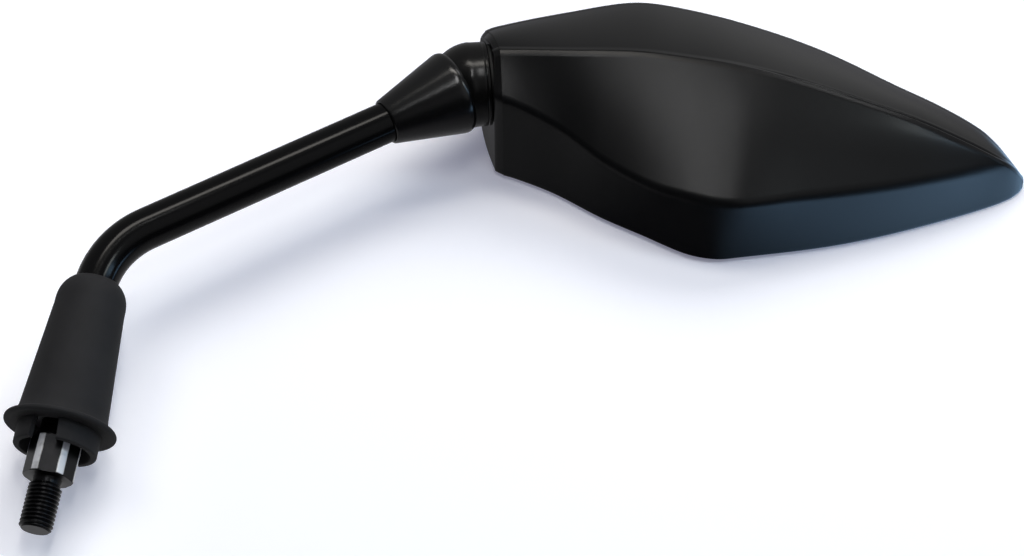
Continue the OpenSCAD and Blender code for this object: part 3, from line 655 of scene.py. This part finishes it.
def clear_outline(gap, height, end=SHELL_LENGTH * 0.94):
    """The outline that clears the leaning walls by a gap up to a height over the rim, with round corners."""
    a, b, c, reach = CAVITY_START + gap, end - gap, 10.5, 7.0

    def wall_at(x, k):
        """How far across the wall stands at that height: the line from the rim to the next corner."""
        corners = moved_in(section_corners(x), WALL)
        foot, top = corners[:, k], corners[:, 1 if k == 0 else 3]
        return foot[:, 0] + (top[:, 0] - foot[:, 0]) * height / top[:, 1]

    def side(x, k):
        """The lower (0) or upper (4) side at the lengths x, moved in square to itself by the gap."""
        x = np.atleast_1d(np.asarray(x, float))
        rise = (wall_at(x + 1, k) - wall_at(x - 1, k)) / 2
        y = wall_at(x, k) + (gap if k == 0 else -gap) * np.sqrt(1 + rise**2)
        return leaning(x, np.stack([y, 0 * y], -1)[:, None], CAVITY_START)[:, 0, :2]

    low = side(np.linspace(a + c, b - c, 90), 0)
    high = side(np.linspace(b - c, a + c, 90), 4)
    corner = [side(a, 0)[0], side(b, 0)[0], side(b, 4)[0], side(a, 4)[0]]
    parts = [
        soft_corner(corner[3], corner[0], low[0], reach, 10), low,
        soft_corner(low[-1], corner[1], corner[2], reach, 10),
        soft_corner(corner[1], corner[2], high[0], reach, 10), high,
        soft_corner(high[-1], corner[3], corner[0], reach, 10),
    ]
    return np.concatenate(parts)


def convex_glass():
    """The glass: a lens-shaped sheet of constant thickness on a ball of 1200 mm, its edge ground round."""
    radius, front, thick = 1200.0, 0.5, 2.0
    rim = clear_outline(0.8, 5.0)
    middle = np.array((SHELL_LENGTH * 0.46, 0.0))
    away = unit(rim - middle)
    shares = np.array((0, 0.12, 0.25, 0.4, 0.55, 0.7, 0.82, 0.91, 0.965, 1))

    def on_ball(flat, depth):
        """Points of the rim's plane put on the ball, `depth` over the front."""
        drop = radius - np.sqrt(radius**2 - ((flat - middle) ** 2).sum(-1))
        return np.concatenate([flat, (front + drop + depth)[..., None]], -1)

    def face(depth, order):
        """The outline drawn in towards the middle by each of the shares."""
        return on_ball(middle + (rim - away * 0.45 - middle) * order[:, None, None], depth)

    ground = ((0.2, 0.06), (0.05, 0.22), (0, 0.45))
    ground += tuple((inset, thick - depth) for inset, depth in ground[::-1])
    edge = np.stack([on_ball(rim - away * inset, depth) for inset, depth in ground])
    grid = np.concatenate([face(0, shares), edge, face(thick, shares[::-1])])
    return [(grid, False, True)]


# The stem's pieces


def stem_rod():
    """The bent rod: rings of the rod's radius along a straight leg, an arc and the arm, with its foot.

    `way` is the distance along the rod; each ring stands square to it, the leg and the arm being tangents of
    the arc. Both ends are bored.
    """
    foot_z, foot_end, cone_end, rod_r, foot_r = 24.8, 46.8, 51.8, 6.5, 8.5
    foot_bore_r, bore_top, arm_bore_r, arm_bore, arm_gap = 5.05, 39.8, 4.1, 15, 21.0
    tangent = BEND_R * np.tan(np.radians(BEND_ANGLE / 2))
    bend_z, arc = APEX_Z - tangent, np.radians(BEND_ANGLE) * BEND_R
    end = bend_z + arc + (ARM_LENGTH - arm_gap - tangent)
    foot = soft_profile([
        (foot_bore_r, bore_top, 0), (foot_bore_r, foot_z, 0.3), (foot_r, foot_z, 0.8), (foot_r, foot_end, 1.2),
        (rod_r, cone_end, 2.0), (rod_r, cone_end + 6, 0),
    ], False)
    tail = soft_profile([
        (rod_r, end - 2, 0), (rod_r, end, 0.7), (arm_bore_r, end, 0.3), (arm_bore_r, end - arm_bore, 0),
    ], False)[1:]
    straight = np.linspace(cone_end + 6, bend_z, 6)[1:]
    curve = np.linspace(bend_z, bend_z + arc, 56)[1:]
    arm = np.linspace(bend_z + arc, end - 2, 40)[1:]
    plain_rod = np.concatenate([straight, curve, arm])
    way = np.concatenate([[bore_top], foot[:, 1], plain_rod, tail[:, 1], tail[-1:, 1]])
    radius = np.concatenate([[0.0], foot[:, 0], np.full(len(plain_rod), rod_r), tail[:, 0], [0.0]])
    angle = round_angles(112)
    bend = np.clip((way - bend_z) / BEND_R, 0, np.radians(BEND_ANGLE))
    over = np.where(way > bend_z + arc, way - bend_z - arc, 0)
    centre_x = BEND_R * (1 - np.cos(bend)) + over * np.sin(bend)
    centre_z = np.where(way < bend_z, way, bend_z + BEND_R * np.sin(bend) + over * np.cos(bend))
    u, v = radius[:, None] * np.cos(angle), radius[:, None] * np.sin(angle)
    x = centre_x[:, None] + u * np.cos(bend)[:, None]
    z = centre_z[:, None] - u * np.sin(bend)[:, None]
    grid = np.stack([x, v, z], -1) @ turn("z", BEND_SWING).T
    return [(grid, False, True)]


def hexagon(across_flats, angle, turned=0.0, cut=0.3):
    """Radius of a hexagon's outline at each angle: half its width over the cosine of the angle from a flat.

    The middle of a flat is at `turned`, and the corners are cut to a circle.
    """
    part = (angle - np.radians(turned) + np.pi / 6) % (np.pi / 3) - np.pi / 6
    corner = across_flats / 2 / np.cos(np.pi / 6)
    return np.minimum(across_flats / 2 / np.cos(part), corner - cut)


def screw_thread(z, angle, radius, pitch, end):
    """Radius of a thread: a soft ramp down and up once a pitch with flat crests, tapered to its end.

    The ramp is a smooth step of how far the height, less a pitch a turn, is from the nearest crest.
    """
    phase = np.abs((z[:, None] / pitch - angle[None] / (2 * np.pi)) % 1.0 * 2 - 1)
    form = np.clip((phase - 0.1) / 0.72, 0, 1)
    depth = 0.62 * pitch * form * form * (3 - 2 * form)
    return np.minimum(radius - depth, radius - np.maximum(0, 0.9 - np.abs(z - end))[:, None])


THREAD_PITCH = 1.25  # of both ends of the stud and of the ball stud's shank


def stud_adapter():
    """The stud: a threaded end with a chamfer, a relief, a hexagon with turned ends, and the upper thread."""
    sides, tip, run_out, relief_r, top = 216, -16, -1.9, 4.2, 37.8
    angle = round_angles(sides)
    rings = [(0, tip)]
    z = np.linspace(tip, run_out, 150)
    fade = np.clip((run_out - z) / 0.7, 0, 1)[:, None]
    rings += list(zip(relief_r + (screw_thread(z, angle, 5.0, THREAD_PITCH, tip) - relief_r) * fade, z))
    rings += [(relief_r, -1.6), (relief_r, -0.3), (4.3, -0.08), (4.6, 0)]
    flats = hexagon(14, angle, 39, 0.5)
    for h in (0, 0.1, 0.25, 0.45, 0.7, 1.2, 6, 10.8, 11.15, 11.45, 11.7, 11.88, 12):
        rings.append((np.minimum(flats, min(7.2 + 1.3 * h, 6.75 + 1.45 * (12 - h))), h))
    rings += [(6.4, 12.1), (5.95, 12.35), (5.75, 12.8), (5.75, 17.3), (5.6, 17.5), (4.8, 17.5)]
    z = np.linspace(17.5, top, 110)
    rings += list(zip(screw_thread(z, angle, 4.98, THREAD_PITCH, top), z)) + [(0, top)]
    return [(rings_of(rings, sides), False, True)]


def boot():
    """The rubber boot: a body of revolution with a flange, its lower ring of tabs left out over two gaps.

    The ring's height is its full height times a smooth step of the angle from the middle of the gaps. The
    dome's radius falls with the cube of its height.
    """
    sides, gap, middle, tab_top = 360, 38.0, -97.0, 15.2
    angle = np.degrees(round_angles(sides))
    off = np.abs((angle - middle + 90) % 180 - 90)
    step = np.clip((off - gap / 2 + 0.9) / 1.8, 0, 1)
    share = step * step * (3 - 2 * step)
    t = np.linspace(0.1, 0.985, 16)[:, None]
    dome = np.hstack([7.27 + 3.43 * (1 - t**3), 54.7 + 9.0 * t])
    tab = soft_profile([(10.6, 14.2, 0), (10.6, 8.7, 0.35), (12.5, 8.7, 0.7), (12.5, 14.2, 0)], False, 6)
    outside = soft_profile([
        (12.5, tab_top, 0), (16.3, 15.15, 0.5), (16.9, 15.7, 0.5), (16.85, 16.6, 0.5), (16.2, 17.0, 0.4),
        (14.4, 17.1, 1.6), (13.4, 20.0, 2.0), (10.7, 54.7, 0),
    ], False)
    inside = soft_profile([
        (dome[-1, 0], dome[-1, 1], 0), (7.1, 63.72, 0.2), (6.67, 63.7, 0.15), (6.67, 60.7, 1.0), (6.6, 58.7, 0.6),
        (6.6, 52.8, 0.8), (8.6, 47.4, 1.0), (8.6, 27.8, 0.6), (10.6, 24.8, 0.8), (10.6, tab_top, 0),
    ], False)
    lower = divided(tab, 2.0, False)
    upper = np.concatenate([divided(outside, 2.5, False), dome, divided(inside, 2.5, False)[1:]])
    rings = [(r, tab_top - (tab_top - h) * share) for r, h in lower] + list(upper)
    return [(rings_of(rings, sides), True, True)]


def cone_cover():
    """The cone over the ball joint: a thin flared sleeve with a rolled lip, gripping the arm."""
    profile = soft_profile([
        (6.6, -30.8, 0.3), (7.3, -30.9, 0.7), (13.75, -6.9, 1.6), (13.1, -5.35, 0.5), (12.75, -5.35, 0.15),
        (12.6, -5.7, 0.2), (11.9, -8.0, 0.6), (7.6, -21.0, 1.0), (6.6, -22.0, 0.3),
    ], True, 6)
    return [(rings_of(divided(profile, 2.5), 160), True, True)]


def socket_collar():
    """The socket: a ball-shaped front with a round opening for the stud, a collar with a bead, and its neck.

    Each ring of the front lies part of the way, along great circles, from the opening's rim to the equator.
    """
    sides = 160
    angle = round_angles(sides)[:, None]
    to_arm = -(NECK.axes.T @ ARM.axes[:, 2])
    first = unit(np.cross(to_arm, (0, 1, 0)))
    second = np.cross(to_arm, first)
    half = np.radians(40)
    mouth = np.cos(half) * to_arm + np.sin(half) * (np.cos(angle) * first + np.sin(angle) * second)
    equator = unit(mouth * (1, 1, 0))

    def cap(radius, swell, shares):
        """Rings on a ball of that radius, the swell added with the square of the share."""
        span = np.arccos(np.clip((mouth * equator).sum(-1), -1, 1))[:, None]
        ways = [(np.sin((1 - s) * span) * mouth + np.sin(s * span) * equator) / np.sin(span) for s in shares]
        return [(radius + swell * s * s) * way for s, way in zip(shares, ways)]

    shares = np.linspace(0, 1, 22)
    face = soft_profile([
        (13.7, 0, 0), (13.55, 1.6, 0.8), (13.5, 4.4, 0.2), (13.3, 4.6, 0.15), (13.5, 4.8, 0.2), (13.4, 5.8, 0.3),
        (13.1, 6.0, 0.15), (10.6, 6.0, 0.1), (10.6, 15.3, 0.3), (9.2, 15.3, 0.2), (9.1, 14.8, 0), (9.1, 0, 0),
    ], False, 4)
    rings = [np.hstack([r * equator[:, :2], np.full((sides, 1), z)]) for r, z in divided(face, 1.5, False)]
    rounded = [m * r for m, r in ((mouth, 9.4), (mouth, 12.9))]
    outer, inner = cap(13.2, 0.5, shares[1:-1]), cap(9.1, 0, shares[1:-1][::-1])
    grid = np.stack(rings + inner + rounded + outer)
    return [(grid, True, True)]


def neck_washer():
    """The rubber ring between the collar and the housing, slightly pressed out at its edge."""
    profile = soft_profile([
        (10.7, 6.0, 0.1), (12.4, 6.0, 0.3), (12.55, 6.6, 0.4), (12.4, 7.2, 0.3), (10.7, 7.2, 0.1),
    ])
    return [(rings_of(profile), True, True)]


def lock_nut():
    """The lock nut under the boot: a hexagon with turned corners at both ends and a countersunk bore."""
    sides, foot, thick = 240, 18.7, 6
    flats = hexagon(17, round_angles(sides), 30)
    outside = [
        (np.minimum(flats, 8.2 + 1.5 * min(h, thick - h)), foot + h)
        for h in (0, 0.15, 0.4, 0.8, 1.3, 3, 4.7, 5.2, 5.6, 5.85, thick)
    ]
    bore = [(r, foot + h) for r, h in ((5.6, thick), (5.06, 5.4), (5.06, 0.6), (5.6, 0))]
    return [(rings_of(outside + bore, sides), True, True)]


def ball_stud():
    """The ball stud: a threaded shank in the arm, a hexagon, a neck and the ball, as rings along the arm's axis."""
    sides, tip, hexagon_z, neck_r, ball_r = 192, -35, -21, 3.3, 7.5
    angle = round_angles(sides)
    z = np.linspace(tip, -21.2, 90)
    rings = [(0, tip)] + list(zip(screw_thread(z, angle, 4.0, THREAD_PITCH, tip), z))
    rings += [(neck_r, -21.1), (neck_r, hexagon_z)]
    flats = hexagon(11, angle, 30)
    for h in (0, 0.1, 0.3, 0.6, 1.0, 3.0, 3.4, 3.7, 3.9, 4.0):
        rings.append((np.minimum(flats, 5.3 + 1.2 * min(h, 4 - h)), hexagon_z + h))
    rings += [(4.2, -17), (3.6, -16.8), (3.35, -16.4), (neck_r, -15.8)]
    rings += [(neck_r, h) for h in np.linspace(-15, -7.6, 6)] + [(3.34, -7.1), (3.42, -6.8)]
    start = np.arcsin(3.5 / ball_r)
    rings += [(ball_r * np.sin(a), -ball_r * np.cos(a)) for a in np.linspace(start, np.pi, 60)]
    return [(rings_of(rings, sides), False, True)]


# The pieces, each on its body, in place of its plain solid

shell, paint, rubber = moulded_plastic(), stem_paint(), moulded_rubber()
zinc, cover, satin, mirror = black_zinc(), gloss_plastic(), satin_paint(), silvered_glass()
bright = plated_steel("bright_steel", (0.62, 0.62, 0.64), 0.16)
plated = plated_steel("zinc_steel", (0.55, 0.56, 0.58), 0.3)
spring = plated_steel("spring_steel", (0.3, 0.3, 0.32), 0.28)
seat = plain_moulding("seat_plastic", (0.8, 0.8, 0.76), 0.45, 2500, "seat_plastic")
carrier = plain_moulding("carrier_plastic", (0.03, 0.03, 0.032), 0.5, 3000, "carrier_plastic")
foam = plain_moulding("pad_foam", (0.04, 0.04, 0.042), 0.85, 1800, "pad_foam")
ring_rubber = plain_moulding("ring_rubber", (0.012, 0.012, 0.012), 0.6, 3000, "gasket_rubber")

piece("moulded_housing", HEAD, housing_shell() + screw_posts(), "head", ["housing"], shell, 30)
piece("convex_glass", HEAD, convex_glass(), "head", ["mirror_glass"], mirror)
piece("ball_collar", NECK, socket_collar(), "head", ["socket_cup"], satin, 30)
piece("neck_ring", NECK, neck_washer(), "head", ["neck_gasket"], ring_rubber)
piece("ball_and_shank", ARM, ball_stud(), "stem", ["ball_stud"], bright, 30)
piece("joint_cone", ARM, cone_cover(), "stem", ["cone_cover"], cover, 30)
piece("bent_stem", STEM, stem_rod(), "stem", ["stem_rod"], paint, 30)
piece("rubber_boot", STEM, boot(), "stem", ["boot"], rubber, 40)
piece("threaded_stud", STEM, stud_adapter(), "base", ["stud_adapter"], zinc, 30)
piece("hexagon_nut", STEM, lock_nut(), "base", ["lock_nut"], zinc, 30)

# The parts inside keep their solids and get a finish
kept = {
    "lock_washer": plated, "ring_nut": plated, "pressure_cap": plated, "end_plug": plated, "carrier_screws": plated,
    "seat_front": seat, "seat_back": seat, "disc_springs": spring, "glass_carrier": carrier, "adhesive_pad": foam,
}
for name, finish in kept.items():
    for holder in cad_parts[name].material_slots:
        holder.material = finish


# The stage: the mirror lies on its rim and the boot's flange, and the camera looks down at it.
# The table's frame has x to the right in the picture, y away from the camera, and z up.

slope = unit(np.array((-0.00533, -0.02494, 1.0)))
stage_x = unit(np.cross((0, 1, 0), slope))
table_axes = HEAD.axes @ np.stack([stage_x, np.cross(slope, stage_x), slope], 1)
TABLE = Place(table_axes, HEAD.metres((20, -20, -1.15)) / MM)
TABLE_LEFT, TABLE_NEAR, TABLE_RIGHT, TABLE_FAR = -700, -800, 800, 130


def looked_at(name, data, place, aim):
    """A lamp or camera put at a point of the table's frame and turned to face another."""
    thing = bpy.data.objects.new(name, data)
    bpy.context.scene.collection.objects.link(thing)
    start, end = TABLE.metres(place), TABLE.metres(aim)
    away = unit(start - end)
    side = unit(np.cross(TABLE.vector((0, 1, 0)), away))
    matrix = np.eye(4)
    matrix[:3] = np.stack([side, np.cross(away, side), away, start], 1)
    thing.matrix_world = Matrix(matrix.tolist())
    return thing


def soft_lamp(name, place, aim, size, brightness, colour):
    """A flat soft light of a width and height in millimetres and a brightness where 1 is white."""
    lamp = bpy.data.lights.new(name, "AREA")
    lamp.shape, lamp.size, lamp.size_y, lamp.color = "RECTANGLE", size[0] * MM, size[1] * MM, colour
    lamp.energy = brightness * np.pi * size[0] * size[1] * MM * MM
    return looked_at(name, lamp, place, aim)


def table_top():
    """The pale table: its own shaded colour plus a painted light, a pale bluish glow that is stronger at the left
    and lightens its shadows there, seen from above only.

    What shiny pieces mirror of it is a painted reflection, a glow shaded by place: mid grey at the left, dark under
    the head, cool and brighter than white near the lower band, and pale grey beyond the head.
    """
    corners = [(TABLE_LEFT, TABLE_NEAR, 0), (TABLE_RIGHT, TABLE_NEAR, 0)]
    corners += [(TABLE_RIGHT, TABLE_FAR, 0), (TABLE_LEFT, TABLE_FAR, 0)]
    mesh = bpy.data.meshes.new("table_top")
    mesh.from_pydata(TABLE.metres(corners).tolist(), [], [(0, 1, 2, 3)])
    floor = bpy.data.objects.new("table_top", mesh)
    bpy.context.scene.collection.objects.link(floor)
    f = Finish("table_white", (0.9, 0.9, 0.9), 0.9, Specular_IOR_Level=0.0)
    f.feeds("Base Color", f.mixed(f.noise(900, 3), (0.89, 0.89, 0.89), (0.91, 0.91, 0.91)))
    middle = TABLE.metres((0, 0, 0))
    right, away = (f.along(way, f.place) - float(middle @ way) for way in TABLE.axes.T[:2])

    def glowing(colour):
        """A surface that gives off that colour."""
        return f.node("ShaderNodeEmission", None, {"Color": colour, "Strength": 1.0})

    def chosen(share, first, second):
        """The first surface where the share is 0 and the second where it is 1."""
        return f.node("ShaderNodeMixShader", None, {0: share, 1: first, 2: second})

    own = Value(f, f.shader.outputs[0])
    # Painted light: a bluish glow, stronger at the left, added to the table's own shading to lighten its shadows
    painted_glow = glowing(f.mixed(right.step(-0.2, 0.12), (0.33, 0.335, 0.37), (0.17, 0.17, 0.215)))
    lit_and_painted_glow = f.node("ShaderNodeAddShader", None, {0: own, 1: painted_glow})
    # Painted reflection: a glow by place that shiny pieces mirror, dark under the head and bright and cool near the
    # lower band
    painted_reflection = f.mixed(right.step(-0.07, 0.1), (0.5, 0.5, 0.51), (0.05, 0.05, 0.06))
    painted_reflection = f.mixed(right.step(0.06, 0.12) * away.step(-0.16, 0.05), painted_reflection, (2.2, 3.7, 5.6))
    painted_reflection = f.mixed(away.step(0, 0.05), painted_reflection, (0.28, 0.28, 0.3))
    # Camera and transmission rays see the table with its painted glow; glossy rays see the painted reflection
    shown = chosen(f.ray("Glossy"), chosen(f.ray("Camera", "Transmission"), own, lit_and_painted_glow), glowing(painted_reflection))
    from_behind = f.node("ShaderNodeNewGeometry", output="Backfacing")
    top = chosen(from_behind, shown, f.node("ShaderNodeBsdfTransparent"))
    f.tree.links.new(top.socket, f.tree.nodes["Material Output"].inputs["Surface"])
    mesh.materials.append(f.material)


def surroundings():
    """The room: dark towards the camera, pale beyond the table; white where the camera looks past the table."""
    world = bpy.data.worlds.new("studio")
    bpy.context.scene.world = world
    world.use_nodes = True
    room = Nodes(world.node_tree, "Background")
    way = room.node("ShaderNodeTexCoord", output="Generated")

    def towards(direction, low, high, dark, light):
        """A smooth step from dark to light as the way comes nearer to a direction of the table's frame."""
        nearness = room.along(TABLE.vector(unit(np.array(direction, float))), way)
        inputs = {0: nearness, 1: low, 2: high, 3: dark, 4: light}
        return room.node("ShaderNodeMapRange", {"interpolation_type": "SMOOTHSTEP"}, inputs)

    far = towards((0.45, 0.9, -0.1), 0.88, 1.0, 0.24, 0.65)
    near = towards((0.1, -1.0, -0.1), -0.3, 0.3, 1.0, 0.1)
    above = towards((0.6, -0.4, 0.7), 0.85, 0.99, 0.0, 0.4)
    room.feeds("Color", room.mixed(room.ray("Diffuse"), (1, 1, 1), (0.72, 0.86, 1.2)))
    room.feeds("Strength", room.node("ShaderNodeMix", None, {0: room.ray("Camera"), 2: far * near + above, 3: 1.0}))


WHITE, WARM, DAYLIGHT = (1, 1, 1), (1.0, 0.96, 0.9), (1.0, 0.99, 0.96)
PALE_CYAN, BLUE = (0.92, 1.0, 1.0), (0.45, 0.72, 1.0)
# Each lamp: its name, place, aim, size, brightness, colour, and whether shiny pieces mirror it
LAMPS = (
    ("overhead_strip", (78, -130, 1250), (75, -20, 0), (120, 420), 13.5, WHITE, True),
    ("ridge_strip", (-60, 400, 1170), (20, 0, 0), (560, 210), 8.0, WARM, True),
    ("wedge_box", (880, 20, 1060), (130, 0, 0), (200, 240), 9.0, PALE_CYAN, True),
    ("lip_light", (560, 800, 850), (-20, 0, 20), (300, 300), 4.0, WHITE, True),
    ("cool_side", (1000, 30, 640), (0, 0, 0), (520, 150), 5.0, BLUE, True),
    ("window_left", (-700, 400, 1200), (60, 0, 0), (480, 480), 5.0, DAYLIGHT, False),
    ("window_far", (250, 1000, 950), (60, 0, 0), (900, 700), 4.7, DAYLIGHT, False),
)

table_top()
surroundings()
for *lamp, is_mirrored in LAMPS:
    soft_lamp(*lamp).visible_glossy = is_mirrored

# The camera: its focal length in pixels of the picture, its axes as columns, and where it stands in millimetres
FOCAL_LENGTH, PICTURE_WIDTH, SENSOR_WIDTH = 2600, 1024, 36.0
lens = bpy.data.cameras.new("camera")
lens.sensor_width, lens.lens = SENSOR_WIDTH, FOCAL_LENGTH / PICTURE_WIDTH * SENSOR_WIDTH
lens.clip_start, lens.clip_end = 0.05, 20
camera = bpy.data.objects.new("camera", lens)
bpy.context.scene.collection.objects.link(camera)
camera_axes = (0.98712, 0.03476, 0.15617), (-0.12693, -0.42409, 0.89668), (0.09740, -0.90495, -0.41421)
stand = np.array((200.593, -707.963, -240.912)) * MM
camera.matrix_world = Matrix([*zip(*camera_axes, stand.tolist()), (0, 0, 0, 1)])
bpy.context.scene.camera = camera
bpy.context.scene.view_settings.view_transform = "Standard"
